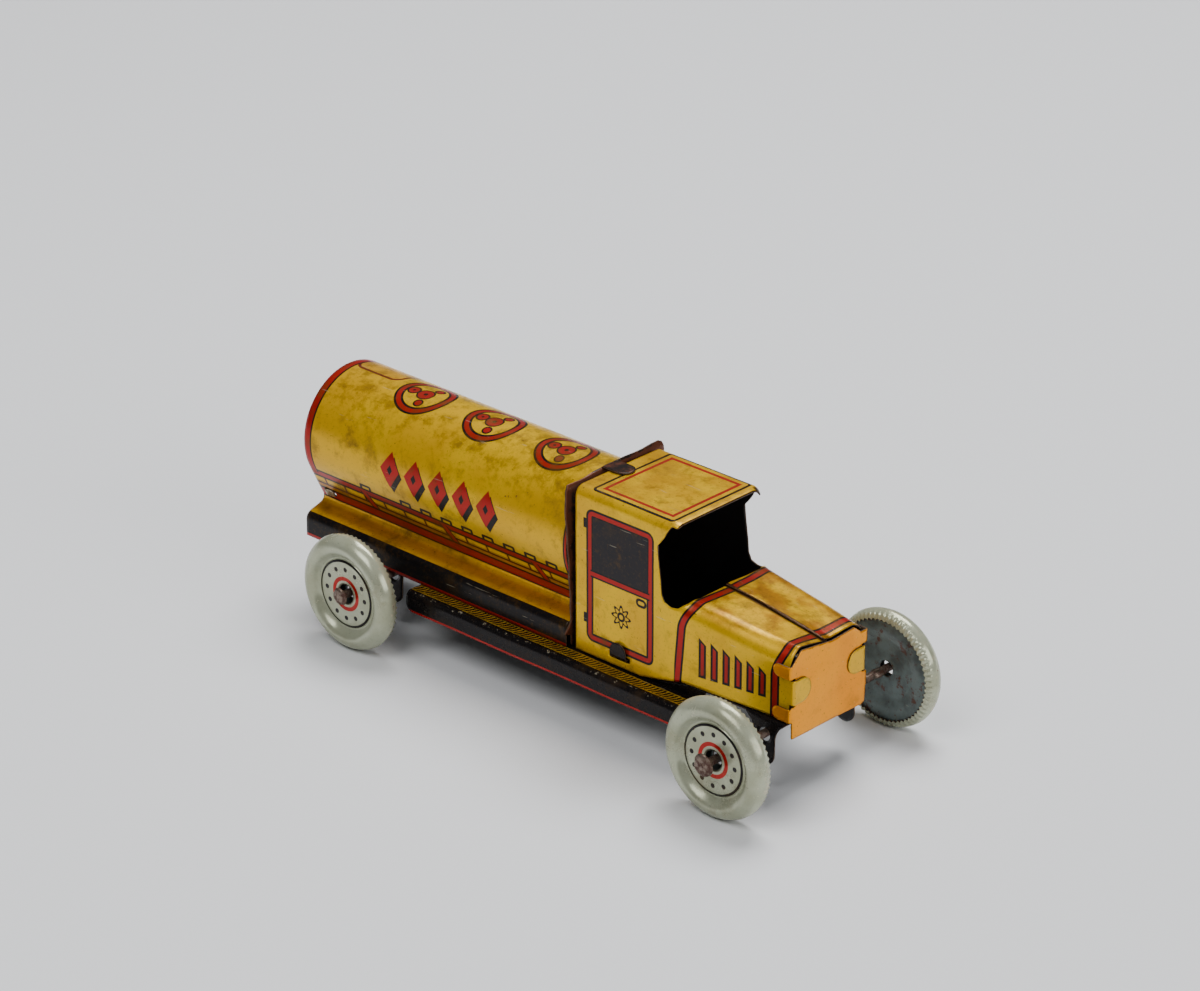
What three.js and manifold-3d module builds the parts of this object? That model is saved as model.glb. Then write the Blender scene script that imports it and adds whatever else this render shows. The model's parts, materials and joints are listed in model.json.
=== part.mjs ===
// Tin toy tanker truck: folded and tabbed tinplate, millimetres, +Z up, +X forward, origin on the
// floor under the middle of the overall box.  +Y is the truck's left side.
import * as THREE from "three";
import { mergeVertices } from "three/addons/utils/BufferGeometryUtils.js";
import Module from "manifold-3d";

const wasm = await Module();
wasm.setup();

// ---- driving dimensions -------------------------------------------------------------------
const sheet = 0.4;                 // tinplate with its paint
const gap = 0.3;                   // play left between neighbouring pieces
const overallLength = 143.2;
const wheelbase = 105.2;

const wheel = { radius: 13, hole: 1.6, disc: 7.8, crest: 10.3, segments: 36 };
const frontAxle = { wire: 0.9, head: 2.5, halfLength: 31.2, wheelY: 26.4 };
const rearAxle = { wire: 0.9, head: 2.0, halfLength: 28.8, wheelY: 25.2 };

const frontAxleX = overallLength / 2 - wheel.radius;
const rearAxleX = frontAxleX - wheelbase;
const tankRearX = -overallLength / 2;

const tank = {
  front: 6, radius: 14.1, axisZ: 36.6, bandY: 14.2, bandBottom: 14.4, bandTop: 19,
  pinchY: 8.6, pinchZ: 21.6,
};
const bulkhead = { x: 6.4, topY: 14.7, topZ: 51, lean: 0.5, footY: 13.2, footZ: 14.4, shoulderZ: 46 };
const roofTab = { y: -1.2, width: 4.6, length: 3.4 };
const cab = {
  rear: 7.8, halfWidth: 13.3, roofZ: 51.2, bottomZ: 14.4, corner: 2.2,
  visorX: 35.4, pillarX: 31.3, sillZ: 32.7,
};
const hood = {
  cowlX: 38.4, cowlZ: 34.7, noseX: 63.8, noseZ: 31.8, noseHalfWidth: 11.1, corner: 3.8, bottomZ: 16.9,
};
const nose = { halfWidth: 11.2, bottomZ: 13, shoulderZ: 28.4, topZ: 31.7, topHalfWidth: 8.6 };
const deck = {
  rear: -69, front: 63.8, low: 14.1, high: 16.6, halfWidth: 12.3,
  dropStart: -41, dropEnd: -38, rampStart: 27, rampEnd: 38,
};
const board = { rear: -36.8, front: 43, halfWidth: 18.3, skirtBottom: 9.9 };
const lug = { halfWidth: 2.7, bottomZ: 6.3, hole: 1.4, rootWidth: 5.2 };
const sideTab = { x: 20.1, width: 4.4, rootZ: 16.4, topZ: 19.1, slotWidth: 5.2, slotLow: 16, slotHigh: 17.2 };

// ---- small helpers ------------------------------------------------------------------------
const point = (a, b) => new THREE.Vector2(a, b);
const distinct = (points) => points.filter((p, i) => i === 0 || p.distanceTo(points[i - 1]) > 1e-3);
const alongX = new THREE.Matrix4().makeBasis(
  new THREE.Vector3(0, 1, 0), new THREE.Vector3(0, 0, 1), new THREE.Vector3(1, 0, 0));
const alongY = new THREE.Matrix4().makeBasis(
  new THREE.Vector3(1, 0, 0), new THREE.Vector3(0, 0, 1), new THREE.Vector3(0, -1, 0));

// A closed outline swept straight, with its two coordinates lying as the basis says.
function prism(outline, depth, basis, holes = []) {
  const shape = new THREE.Shape(outline);
  holes.forEach((hole) => shape.holes.push(hole));
  const options = { depth, bevelEnabled: false, curveSegments: 12 };
  return new THREE.ExtrudeGeometry(shape, options).applyMatrix4(basis);
}

// (y, z) outline swept from x = from to x = to.
function prismX(outline, from, to, holes) {
  return prism(outline, to - from, alongX, holes).translate(from, 0, 0);
}

// (x, z) outline swept from y = from to y = to.
function prismY(outline, from, to, holes) {
  return prism(outline, to - from, alongY, holes).translate(0, to, 0);
}

function box(low, high) {
  const size = high.map((value, i) => value - low[i]);
  const centre = high.map((value, i) => (value + low[i]) / 2);
  return new THREE.BoxGeometry(...size).translate(...centre);
}

function solid(geometry) {
  const bare = geometry.index ? geometry.clone() : geometry;
  bare.deleteAttribute("normal");
  bare.deleteAttribute("uv");
  const merged = mergeVertices(bare, 1e-4);
  return new wasm.Manifold(new wasm.Mesh({
    numProp: 3,
    vertProperties: new Float32Array(merged.attributes.position.array),
    triVerts: new Uint32Array(merged.index.array),
  }));
}

function geometryOf(manifold) {
  const mesh = manifold.getMesh();
  const geometry = new THREE.BufferGeometry();
  geometry.setAttribute("position", new THREE.BufferAttribute(new Float32Array(mesh.vertProperties), 3));
  geometry.setIndex(new THREE.BufferAttribute(new Uint32Array(mesh.triVerts), 1));
  const loose = geometry.toNonIndexed();
  loose.computeVertexNormals();
  return loose;
}

const joined = (pieces) => pieces.map(solid).reduce((sum, piece) => sum.add(piece));

// The half outline (negative first coordinate, bottom to top) with its mirror image added.
function mirrored(half) {
  const other = half.map((p) => point(-p.x, p.y)).reverse();
  return half.concat(other[0].x < 1e-6 ? other.slice(1) : other);
}

// A folded sheet: the outer line going up, over and down, closed by the same line one sheet inside.
function folded(line, thickness) {
  const inner = line.map((p, i) => {
    const before = line[Math.max(i - 1, 0)];
    const after = line[Math.min(i + 1, line.length - 1)];
    const first = p.clone().sub(before).normalize();
    const second = after.clone().sub(p).normalize();
    const along = first.clone().add(second).normalize();
    const reference = i === 0 ? second : first;
    const shorten = along.dot(reference);
    return point(p.x + along.y * thickness / shorten, p.y - along.x * thickness / shorten);
  });
  return line.concat(inner.reverse());
}

// ---- cross-sections -----------------------------------------------------------------------
// Tank sheet: black band, wooden valance rolled over it, pinched neck, then the round tank.
function tankHalf(inset) {
  const radius = tank.radius - inset;
  const rise = tank.axisZ - tank.pinchZ;
  const pinchY = tank.pinchY - inset;
  const reach = Math.hypot(pinchY, rise);
  const tangent = Math.atan2(-rise, -pinchY) + 2 * Math.PI - Math.acos(radius / reach);
  const bandY = tank.bandY - inset;
  const path = new THREE.Path();
  path.moveTo(-bandY, tank.bandBottom);
  path.lineTo(-bandY, tank.bandTop - inset);
  path.quadraticCurveTo(-bandY, tank.bandTop + 1 - inset, -bandY + 1, tank.bandTop + 1.25 - inset);
  path.lineTo(-pinchY - 1.2, tank.pinchZ - 0.7 - inset);
  path.quadraticCurveTo(-pinchY - 0.1, tank.pinchZ - 0.4, -pinchY, tank.pinchZ);
  path.absarc(0, tank.axisZ, radius, tangent, Math.PI / 2, true);
  return distinct(path.getPoints(12));
}

// Cab and hood sheet: upright side, rounded corner, flat top.
function arch(halfWidth, top, corner, bottom) {
  const path = new THREE.Path();
  path.moveTo(-halfWidth, bottom);
  path.lineTo(-halfWidth, top - corner);
  path.absarc(-halfWidth + corner, top - corner, corner, Math.PI, Math.PI / 2, true);
  return folded(mirrored(distinct(path.getPoints(5))), sheet);
}

// Straight skin between stations along x, whose outlines have the same number of points.
function loft(stations) {
  const positions = [];
  const index = [];
  const count = stations[0].outline.length;
  const rings = stations.map(({ outline }) => (
    THREE.ShapeUtils.isClockWise(outline) ? [...outline].reverse() : outline));
  rings.forEach((ring, s) => ring.forEach((p) => positions.push(stations[s].x, p.x, p.y)));
  for (let s = 0; s + 1 < rings.length; s += 1) {
    for (let i = 0; i < count; i += 1) {
      const a = s * count + i;
      const b = s * count + (i + 1) % count;
      index.push(a, b, a + count, b, b + count, a + count);
    }
  }
  const last = (rings.length - 1) * count;
  THREE.ShapeUtils.triangulateShape(rings[0], []).forEach(([a, b, c]) => {
    index.push(c, b, a, last + a, last + b, last + c);
  });
  const geometry = new THREE.BufferGeometry();
  geometry.setAttribute("position", new THREE.Float32BufferAttribute(positions, 3));
  geometry.setIndex(index);
  return geometry;
}

// ---- tank ---------------------------------------------------------------------------------
function tankShell() {
  return prismX(folded(mirrored(tankHalf(0)), sheet), tankRearX, tank.front);
}

// Flat end pushed a little way into the shell, filling the round tank and its neck.
function tankRearEnd() {
  const outline = mirrored(tankHalf(sheet + gap)).filter((p) => p.y > tank.pinchZ - 0.2);
  return prismX(outline, tankRearX + 0.8, tankRearX + 0.8 + sheet);
}

// Upright plate that closes the tank and stands behind the cab, with a tab folded over the roof.
function bulkheadPlate() {
  const { x, topY, topZ, lean, footY, footZ, shoulderZ } = bulkhead;
  const half = [point(-footY, footZ), point(-topY + 0.5, 34), point(-topY, shoulderZ),
    point(-topY + 0.3, topZ - 0.4), point(-topY + 1.1, topZ)];
  const leaning = mirrored(half).map((p) => point(p.x, p.y > shoulderZ ? p.y + lean * p.x / topY : p.y));
  const plate = prismX(leaning, x, x + sheet);
  const low = cab.roofZ + gap;
  const tab = new THREE.Path();
  tab.absarc(x + roofTab.length, roofTab.y, roofTab.width / 2, Math.PI / 2, -Math.PI / 2, true);
  const outline = [point(x, roofTab.y - roofTab.width / 2), ...tab.getPoints(6).reverse(),
    point(x, roofTab.y + roofTab.width / 2)];
  const lying = new THREE.ExtrudeGeometry(new THREE.Shape(outline), { depth: sheet, bevelEnabled: false });
  lying.translate(0, 0, low);
  const left = roofTab.y - roofTab.width / 2;
  const stem = box([x, left, topZ - 1], [x + sheet, left + roofTab.width, low + sheet]);
  return geometryOf(joined([plate, lying, stem]));
}

// ---- cab and hood -------------------------------------------------------------------------
function cabBody() {
  const { rear, halfWidth, roofZ, bottomZ, corner, visorX, pillarX, sillZ } = cab;
  const shell = prismX(arch(halfWidth, roofZ, corner, bottomZ), rear, visorX);
  const side = [point(rear - 1, bottomZ - 1), point(rear - 1, roofZ + 1), point(visorX + 1, roofZ + 1),
    point(visorX + 1, roofZ - 0.9), point(pillarX + 2.1, roofZ - 1.4), point(pillarX + 1, roofZ - 3.5),
    point(pillarX - 0.1, roofZ - 5), point(pillarX - 0.9, roofZ - 5.7), point(pillarX - 0.6, roofZ - 9),
    point(pillarX, roofZ - 13.2), point(pillarX + 0.3, sillZ + 2.1), point(pillarX + 1.1, sillZ + 0.6),
    point(pillarX + 2.8, sillZ), point(visorX + 1, sillZ + 0.1), point(visorX + 1, bottomZ - 1)];
  const cabPart = solid(shell).intersect(solid(prismY(side, -20, 20)));

  const lean = (hood.cowlZ - hood.noseZ) / (hood.noseX - hood.cowlX);
  const startX = pillarX + 1;
  const startTop = hood.cowlZ + lean * (hood.cowlX - startX);
  const visorTop = hood.cowlZ + lean * (hood.cowlX - visorX);
  const bonnet = loft([
    { x: startX, outline: arch(halfWidth, startTop, hood.corner, hood.bottomZ) },
    { x: visorX, outline: arch(halfWidth, visorTop, hood.corner, hood.bottomZ) },
    { x: hood.noseX, outline: arch(hood.noseHalfWidth, hood.noseZ, hood.corner, hood.bottomZ) }]);
  const cowl = [point(startX - 1, bottomZ), point(startX - 1, sillZ - 0.1), point(pillarX + 2.8, sillZ),
    point(pillarX + 4.5, sillZ + 0.1), point(hood.cowlX, hood.cowlZ), point(hood.cowlX, hood.cowlZ + 2),
    point(hood.noseX + 1, hood.cowlZ + 2), point(hood.noseX + 1, bottomZ)];
  const hoodPart = solid(bonnet).intersect(solid(prismY(cowl, -20, 20)));

  const bottomCut = [point(deck.rampStart - 2, bottomZ - 2), point(deck.rampStart - 1, bottomZ),
    point(deck.rampEnd - 1, hood.bottomZ), point(hood.noseX + 2, hood.bottomZ),
    point(hood.noseX + 2, bottomZ - 2)];
  const slots = [-1, 1].map((s) => box(
    [sideTab.x - sideTab.slotWidth / 2, s * halfWidth - 1, sideTab.slotLow],
    [sideTab.x + sideTab.slotWidth / 2, s * halfWidth + 1, sideTab.slotHigh]));
  const noseTabs = [-1, 1].map((s) => noseTab(s));
  return geometryOf(joined(noseTabs).add(cabPart.add(hoodPart))
    .subtract(solid(prismY(bottomCut, -20, 20)))
    .subtract(joined(slots)));
}

// Round tab of the hood side, folded flat over the nose plate.
function noseTab(s) {
  const x = hood.noseX;
  const z = 23.4;
  const outer = hood.noseHalfWidth;
  const thick = sheet + 2 * gap + sheet;
  const round = new THREE.Path();
  round.absarc(-outer + 1.6, z, 2.5, Math.PI / 2, -Math.PI / 2, true);
  const flap = prismX([point(-outer - 0.25, z + 2.5), ...round.getPoints(6), point(-outer - 0.25, z - 2.5)],
    x + thick - sheet, x + thick);
  const bend = box([x - 0.5, -outer - 0.65, z - 2.5], [x + thick, -outer - 0.25, z + 2.5]);
  const root = box([x - 0.9, -outer - 0.65, z - 2.5], [x - 0.3, -outer + 0.3, z + 2.5]);
  const tab = joined([flap, bend, root]);
  return geometryOf(s < 0 ? tab : tab.mirror([0, 1, 0]));
}

// Nose plate with two tabs on each side, bent back along the hood.
function nosePlate() {
  const x = hood.noseX + gap;
  const { halfWidth, bottomZ, shoulderZ, topZ, topHalfWidth } = nose;
  const notch = halfWidth - 1.3;
  const half = [point(-halfWidth + 0.2, bottomZ), point(-halfWidth, bottomZ + 0.6), point(-halfWidth, 20.2),
    point(-notch, 20.2), point(-notch, 26.6), point(-halfWidth, 26.6), point(-halfWidth, shoulderZ),
    point(-topHalfWidth, topZ)];
  const plate = prismX(mirrored(half), x, x + sheet);
  const tabs = [];
  [-1, 1].forEach((s) => [18.5, 28.1].forEach((z, upper) => {
    const reach = 3.2;
    const outer = halfWidth + 0.75;
    const inner = halfWidth + 0.35;
    const height = upper ? 1.4 : 1.5;
    const ys = [s * outer, s * inner].sort((a, b) => a - b);
    const yRoot = [s * outer, s * (halfWidth - 1)].sort((a, b) => a - b);
    tabs.push(box([x - reach, ys[0], z - height], [x + sheet, ys[1], z + height]));
    tabs.push(box([x, yRoot[0], z - height], [x + sheet, yRoot[1], z + height]));
  }));
  return geometryOf(joined([plate, ...tabs]));
}

// ---- chassis ------------------------------------------------------------------------------
function chassisDeck() {
  const { rear, front, low, high, dropStart, dropEnd, rampStart, rampEnd, halfWidth } = deck;
  const top = [point(rear, high), point(dropStart, high), point(dropEnd, low), point(rampStart, low),
    point(rampEnd, high), point(front, high)];
  const under = top.map((p) => point(p.x, p.y - sheet)).reverse();
  return prismY(top.concat(under), -halfWidth, halfWidth);
}

function runningBoard(s) {
  const { rear, front, halfWidth, skirtBottom } = board;
  const span = (a, b) => [s * a, s * b].sort((m, n) => m - n);
  const tread = span(halfWidth, deck.halfWidth - 0.4);
  const skirt = span(halfWidth, halfWidth - sheet);
  const riser = span(deck.halfWidth, deck.halfWidth - sheet);
  const cheek = [point(rear, deck.low), point(rear, skirtBottom + 1.6), point(rear + 0.6, skirtBottom + 0.5),
    point(rear + 1.8, skirtBottom), point(front, skirtBottom), point(front, deck.low)];
  return [
    box([rear, tread[0], deck.low - sheet], [front, tread[1], deck.low]),
    prismY(cheek, skirt[0], skirt[1]),
    box([deck.rampStart, riser[0], deck.low - sheet], [front, riser[1], deck.low]),
    prismY([point(deck.rampStart, deck.low - sheet), point(front, deck.low - sheet),
      point(front, deck.high - 0.1), point(deck.rampEnd, deck.high - 0.1),
      point(deck.rampStart, deck.low - 0.1)], riser[0], riser[1]),
  ];
}

// Hanging lug that carries an axle, wider at its root, round at its foot.
function axleLug(x, s, rootZ) {
  const { halfWidth, bottomZ, hole, rootWidth } = lug;
  const y = [s * deck.halfWidth, s * (deck.halfWidth - sheet)].sort((a, b) => a - b);
  const path = new THREE.Path();
  path.moveTo(x - rootWidth, rootZ);
  path.quadraticCurveTo(x - halfWidth, rootZ - 0.4, x - halfWidth, rootZ - 3);
  path.lineTo(x - halfWidth, bottomZ + halfWidth);
  path.absarc(x, bottomZ + halfWidth, halfWidth, Math.PI, 2 * Math.PI, false);
  path.lineTo(x + halfWidth, rootZ - 3);
  path.quadraticCurveTo(x + halfWidth, rootZ - 0.4, x + rootWidth, rootZ);
  const bore = new THREE.Path().absarc(x, wheel.radius, hole, 0, 2 * Math.PI, false);
  return prismY(distinct(path.getPoints(6)), y[0], y[1], [bore]);
}

// Tab that rises from the deck inside the cab, passes out through the slot and turns up.
function cabTab(s) {
  const x = [sideTab.x - sideTab.width / 2, sideTab.x + sideTab.width / 2];
  const inside = cab.halfWidth - sheet - gap;
  const outside = cab.halfWidth + gap;
  const block = (a, b, low, high) => {
    const y = [s * a, s * b].sort((m, n) => m - n);
    return box([x[0], y[0], low], [x[1], y[1], high]);
  };
  return [
    block(inside - sheet, inside, deck.low - 0.2, sideTab.rootZ + sheet),
    block(inside - sheet, outside + sheet, sideTab.rootZ, sideTab.rootZ + sheet),
    block(outside, outside + sheet, sideTab.rootZ, sideTab.topZ),
  ];
}

function chassis() {
  const pieces = [chassisDeck()];
  [-1, 1].forEach((s) => {
    pieces.push(...runningBoard(s), ...cabTab(s));
    pieces.push(axleLug(frontAxleX, s, deck.high - 0.1), axleLug(rearAxleX, s, deck.high - 0.1));
  });
  return geometryOf(joined(pieces));
}

// ---- axles and wheels ---------------------------------------------------------------------
// Steel wire with a hammered head at each end and a nipped flat inboard of each wheel.
function axleWire({ wire, head, halfLength, wheelY }) {
  const neck = halfLength - 0.9;
  const half = [point(0, halfLength), point(head * 0.55, halfLength - 0.08),
    point(head * 0.9, halfLength - 0.3), point(head, neck + 0.3), point(head * 0.8, neck),
    point(wire, neck - 0.1)];
  const profile = half.concat(half.map((p) => point(p.x, -p.y)).reverse());
  const rod = new THREE.LatheGeometry(profile.reverse(), 16);
  const nipY = wheelY - 3.9;
  const nips = [-1, 1].map((s) => box([-1.9, s * nipY - 0.8, -0.35], [1.9, s * nipY + 0.8, 0.35]));
  return geometryOf(joined([rod, ...nips]));
}

// Outer wheel half: flat hub disc, round tyre, and the rim turned over the inner half.
function wheelOuter() {
  const { radius, hole, disc, crest } = wheel;
  const path = new THREE.SplineCurve([point(disc + 0.5, 1.5), point(crest - 0.9, 2.45),
    point(crest + 0.6, 2.6), point(radius - 0.7, 1.7), point(radius, 0), point(radius - 0.55, -1.5),
    point(radius - 1.6, -2.1)]);
  const line = [point(hole, 1.3), point(disc, 1.3), ...path.getPoints(9), point(radius - 2.6, -2.25)];
  return new THREE.LatheGeometry([...folded(line, sheet), line[0]].reverse(), wheel.segments);
}

// Inner wheel half: a shallow pressed dish held under the turned rim.
function wheelInner() {
  const line = [point(wheel.hole, -0.9), point(6.4, -0.9), point(7.4, -1.1), point(9.2, -1.55),
    point(wheel.radius - 1.5, -1.55)];
  const other = line.map((p) => point(p.x, p.y + sheet)).reverse();
  return new THREE.LatheGeometry([...line, ...other, line[0]], wheel.segments);
}

// ---- assembly -----------------------------------------------------------------------------
const paint = {
  yellow: { color: 0xc99a30, roughness: 0.35, metalness: 0.1 },
  orange: { color: 0xdd9d24, roughness: 0.4, metalness: 0.1 },
  black: { color: 0x262423, roughness: 0.35, metalness: 0.1 },
  rust: { color: 0x5a3a2c, roughness: 0.8, metalness: 0.3 },
  steel: { color: 0x7a6a60, roughness: 0.5, metalness: 0.8 },
  celadon: { color: 0xafb4a0, roughness: 0.3, metalness: 0.1 },
  slate: { color: 0x6e7a78, roughness: 0.35, metalness: 0.3 },
};

const truck = new THREE.Group();

function add(name, geometry, look, place = [0, 0, 0], turned = false) {
  const mesh = new THREE.Mesh(geometry, new THREE.MeshStandardMaterial(look));
  mesh.name = name;
  mesh.position.set(...place);
  if (turned) mesh.rotation.z = Math.PI;
  truck.add(mesh);
}

add("tank_shell", tankShell(), paint.yellow);
add("tank_rear_end", tankRearEnd(), paint.yellow);
add("bulkhead", bulkheadPlate(), paint.rust);
add("cab_body", cabBody(), paint.yellow);
add("nose_plate", nosePlate(), paint.orange);
add("chassis", chassis(), paint.black);

[["front", frontAxle, frontAxleX], ["rear", rearAxle, rearAxleX]].forEach(([end, axle, x]) => {
  add(`${end}_axle`, axleWire(axle), paint.steel, [x, 0, wheel.radius]);
  [["left", 1], ["right", -1]].forEach(([hand, s]) => {
    const place = [x, s * axle.wheelY, wheel.radius];
    add(`wheel_${end}_${hand}_outer`, wheelOuter(), paint.celadon, place, s < 0);
    add(`wheel_${end}_${hand}_inner`, wheelInner(), paint.slate, place, s < 0);
  });
});

export default truck;
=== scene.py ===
import json
import math
import bpy
import numpy as np
from mathutils import Matrix, Vector

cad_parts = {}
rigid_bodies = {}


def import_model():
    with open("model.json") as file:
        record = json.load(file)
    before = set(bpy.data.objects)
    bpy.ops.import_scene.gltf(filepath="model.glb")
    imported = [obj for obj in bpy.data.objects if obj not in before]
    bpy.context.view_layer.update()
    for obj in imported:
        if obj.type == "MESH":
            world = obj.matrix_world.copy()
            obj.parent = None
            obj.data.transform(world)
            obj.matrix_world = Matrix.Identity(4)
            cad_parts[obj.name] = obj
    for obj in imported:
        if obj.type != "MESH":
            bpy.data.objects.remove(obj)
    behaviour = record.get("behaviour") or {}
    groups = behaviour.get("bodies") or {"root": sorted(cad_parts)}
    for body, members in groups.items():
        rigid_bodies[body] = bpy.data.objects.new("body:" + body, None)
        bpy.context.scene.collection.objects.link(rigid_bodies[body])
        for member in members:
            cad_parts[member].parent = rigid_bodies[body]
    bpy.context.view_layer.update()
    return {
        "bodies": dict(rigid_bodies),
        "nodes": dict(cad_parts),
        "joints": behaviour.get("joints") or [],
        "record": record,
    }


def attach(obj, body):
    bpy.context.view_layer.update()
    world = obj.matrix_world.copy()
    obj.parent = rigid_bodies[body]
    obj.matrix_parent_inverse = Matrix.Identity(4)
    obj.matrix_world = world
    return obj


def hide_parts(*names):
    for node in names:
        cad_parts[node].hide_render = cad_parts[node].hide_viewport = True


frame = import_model()
mm = 0.001
sheet = 0.3   # thickness of the tinplate, mm
print("frame loaded")


# camera, floor and light
view = {"azimuth": 43.1, "elevation": 25.3, "place": (536.1, -570.4, 412.0), "lens": 126.0}
studio = {
    "world": 0.13, "sky": (0.78, 0.8, 0.82, 1), "reach": 3000, "cells": 60, "paper": (0.76, 0.77, 0.79, 1),
    # name, azimuth and height of the way to the lamp, distance, size, power
    "lamps": [
        ("key", 2, 56, 1.1, (0.6, 0.6), 5.8),
        ("top", 200, 66, 1.2, (0.7, 0.7), 16.5),
        ("fill", 90, 26, 1.3, (0.9, 0.6), 6.5),
    ],
}


def direction(azimuth, height):
    # way from the truck to a camera or lamp; azimuth 0 stands on the right side, 90 in front
    a, e = math.radians(azimuth), math.radians(height)
    return Vector((math.sin(a) * math.cos(e), -math.cos(a) * math.cos(e), math.sin(e)))


def makeCamera():
    data = bpy.data.cameras.new("camera")
    data.lens = view["lens"]
    data.clip_start = 0.05
    data.clip_end = 20
    obj = bpy.data.objects.new("camera", data)
    bpy.context.scene.collection.objects.link(obj)
    back = direction(view["azimuth"], view["elevation"])
    a = math.radians(view["azimuth"])
    right = Vector((math.cos(a), math.sin(a), 0))
    up = back.cross(right)
    turn = Matrix((right, up, back)).transposed()
    obj.matrix_world = Matrix.Translation(Vector(view["place"]) * mm) @ turn.to_4x4()
    bpy.context.scene.camera = obj


def makeStage():
    world = bpy.data.worlds.new("studio")
    bpy.context.scene.world = world
    world.use_nodes = True
    background = world.node_tree.nodes["Background"]
    background.inputs[0].default_value = studio["sky"]
    background.inputs[1].default_value = studio["world"]
    count, reach = studio["cells"], studio["reach"]
    u, v = np.meshgrid(np.linspace(-reach, reach, count), np.linspace(-reach, reach, count), indexing="ij")
    points = np.stack([u, v, np.zeros_like(u)], -1).reshape(-1, 3)
    index = np.arange(count * count).reshape(count, count)
    quads = np.stack([index[:-1, :-1], index[1:, :-1], index[1:, 1:], index[:-1, 1:]], -1).reshape(-1, 4)
    floor = meshObject("floor", points, quads)
    material, _, shader = newMaterial("floor_paper")
    shader.inputs["Base Color"].default_value = studio["paper"]
    shader.inputs["Roughness"].default_value = 0.9
    floor.data.materials.append(material)
    for name, azimuth, height, distance, size, power in studio["lamps"]:
        data = bpy.data.lights.new(name, "AREA")
        data.shape = "RECTANGLE"
        data.size, data.size_y = size
        data.energy = power
        lamp = bpy.data.objects.new(name, data)
        bpy.context.scene.collection.objects.link(lamp)
        way = direction(azimuth, height)
        turn = way.to_track_quat("Z", "Y").to_matrix().to_4x4()
        lamp.matrix_world = Matrix.Translation(way * distance) @ turn


# materials: short names for node sums
def linear(r, g, b):
    # screen colour 0..255 to scene colour, the usual 2.4 power with its straight toe
    out = []
    for c in (r / 255, g / 255, b / 255):
        out.append(c / 12.92 if c <= 0.04045 else ((c + 0.055) / 1.055) ** 2.4)
    return (*out, 1.0)


class Term:
    # one number in a node tree; sums and products of Terms add Math nodes
    def __init__(self, tree, socket):
        self.tree = tree
        self.socket = socket

    def math(self, operation, *others):
        node = self.tree.nodes.new("ShaderNodeMath")
        node.operation = operation
        for slot, value in enumerate((self, *others)):
            if isinstance(value, Term):
                self.tree.links.new(value.socket, node.inputs[slot])
            else:
                node.inputs[slot].default_value = value
        return Term(self.tree, node.outputs[0])

    def __add__(self, other):
        return self.math("ADD", other)

    def __radd__(self, other):
        return self.math("ADD", other)

    def __sub__(self, other):
        return self.math("SUBTRACT", other)

    def __rsub__(self, other):
        return self.math("MULTIPLY", -1.0).math("ADD", other)

    def __mul__(self, other):
        return self.math("MULTIPLY", other)

    def abs(self):
        return self.math("ABSOLUTE")

    def least(self, other):
        return self.math("MINIMUM", other)

    def most(self, other):
        return self.math("MAXIMUM", other)

    def step(self, low, high):
        # 0 below low, 1 above high, a smooth rise between
        node = self.tree.nodes.new("ShaderNodeMapRange")
        node.interpolation_type = "SMOOTHSTEP"
        self.tree.links.new(self.socket, node.inputs[0])
        node.inputs[1].default_value = low
        node.inputs[2].default_value = high
        return Term(self.tree, node.outputs[0])


edge = 0.05   # softness of a printed edge, mm


def inside(distance):
    return 1.0 - distance.step(-edge, edge)


def outlineOf(distance, half):
    return inside(distance.abs() - half)


def discAt(u, v, cu, cv, radius):
    return length(u - cu, v - cv) - radius


def boxAt(u, v, cu, cv, halfU, halfV, corner=0.0):
    # rounded box distance: length of the outside part plus the inside part, less the corner
    du = (u - cu).abs() - (halfU - corner)
    dv = (v - cv).abs() - (halfV - corner)
    return length(du.most(0.0), dv.most(0.0)) + du.most(dv).least(0.0) - corner


def band(t, low, high):
    return inside((t - (low + high) / 2).abs() - (high - low) / 2)


def length(u, v):
    return (u * u + v * v).math("SQRT")


def wave(t, pitch, centre=0.0):
    # distance along t from the nearest multiple of pitch about centre, signed
    return (t - centre + pitch / 2).math("FLOORED_MODULO", pitch) - pitch / 2


def newMaterial(name):
    material = bpy.data.materials.new(name)
    material.use_nodes = True
    tree = material.node_tree
    tree.nodes.clear()
    out = tree.nodes.new("ShaderNodeOutputMaterial")
    shader = tree.nodes.new("ShaderNodeBsdfPrincipled")
    tree.links.new(shader.outputs[0], out.inputs[0])
    return material, tree, shader


inks = {
    "yellow": (226, 180, 0),
    "red": (166, 28, 24),
    "black": (24, 21, 22),
    "charcoal": (34, 31, 34),
    "dirt": (96, 66, 16),
    "rust": (92, 52, 34),
    "tin": (196, 186, 160),
}


def mix(below, above, amount):
    # each colour is the name of an ink, a screen colour or the result of another mix
    tree = amount.tree
    node = tree.nodes.new("ShaderNodeMix")
    node.data_type = "RGBA"
    for slot, value in ((6, below), (7, above)):
        if isinstance(value, (str, tuple)):
            node.inputs[slot].default_value = linear(*inks.get(value, value))
        else:
            tree.links.new(value, node.inputs[slot])
    tree.links.new(amount.socket, node.inputs[0])
    return node.outputs[2]


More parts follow.
